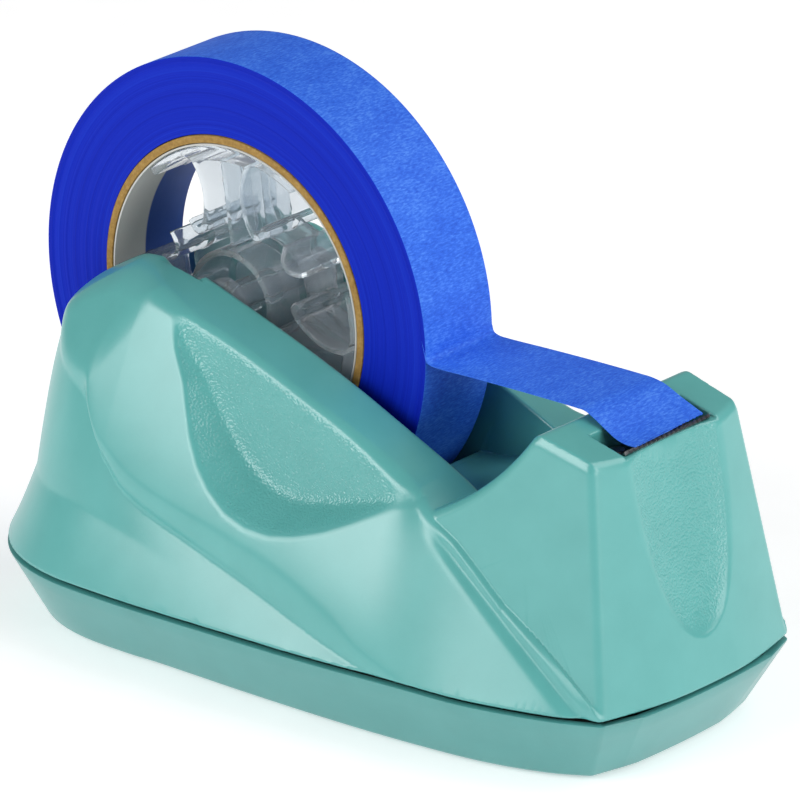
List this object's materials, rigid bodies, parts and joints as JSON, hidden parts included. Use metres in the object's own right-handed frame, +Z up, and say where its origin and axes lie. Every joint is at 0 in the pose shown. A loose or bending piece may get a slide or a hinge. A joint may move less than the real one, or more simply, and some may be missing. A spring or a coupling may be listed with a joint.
{
  "type": "tape dispenser",
  "caption": "Weighted desk tape dispenser: sculpted shell on a tray, clear hub with a masking tape roll in an open well, toothed blade in a notch at the front.",
  "frame": {"origin": "centre of the footprint, on the surface that the feet stand on", "axes": "+X towards the cutter, +Z up; the object mirrors across the XZ plane"},
  "size_m": [0.1959, 0.1082, 0.1412],
  "materials": {
    "shell_plastic": "satin moulded plastic",
    "tray_plastic": "satin moulded plastic",
    "ballast_iron": "rough cast",
    "foot_rubber": "matt",
    "screw_steel": "zinc plated",
    "holder_plastic": "matt",
    "blade_steel": "blackened, worn at the teeth",
    "clear_plastic": "clear, polished",
    "core_board": "raw spiral-wound paperboard",
    "liner_paper": "coated paper",
    "tape_paper": "creped paper tape",
    "tail_paper": "creped paper tape"
  },
  "bodies": {
    "base": {"body_shell": "shell_plastic", "base_tray": "tray_plastic", "ballast_rear": "ballast_iron", "ballast_front": "ballast_iron", "foot_1": "foot_rubber", "foot_2": "foot_rubber", "foot_3": "foot_rubber", "foot_4": "foot_rubber", "tray_screw_1": "screw_steel", "tray_screw_2": "screw_steel", "tray_screw_3": "screw_steel", "tray_screw_4": "screw_steel", "blade_holder": "holder_plastic", "cutter_blade": "blade_steel", "blade_screw_near": "screw_steel", "blade_screw_far": "screw_steel"},
    "roll_carrier": {"axle": "clear_plastic", "axle_shoulder_near": "clear_plastic", "axle_shoulder_far": "clear_plastic", "tape_tail": "tail_paper"},
    "reel": {"hub_drum": "clear_plastic", "core_adapter": "clear_plastic", "cardboard_core": "core_board", "core_liner": "liner_paper", "tape_roll": "tape_paper"}
  },
  "joints": [
    {"name": "roll_lift", "type": "slide", "parent": "base", "child": "roll_carrier", "axis": [-0.8192, 0, 0.5736], "range_m": [0, 0.07]},
    {"name": "roll_spin", "type": "hinge", "parent": "roll_carrier", "child": "reel", "pos_m": [-0.0382, 0, 0.0819], "axis": [0, 1, 0], "continuous": true}
  ]
}
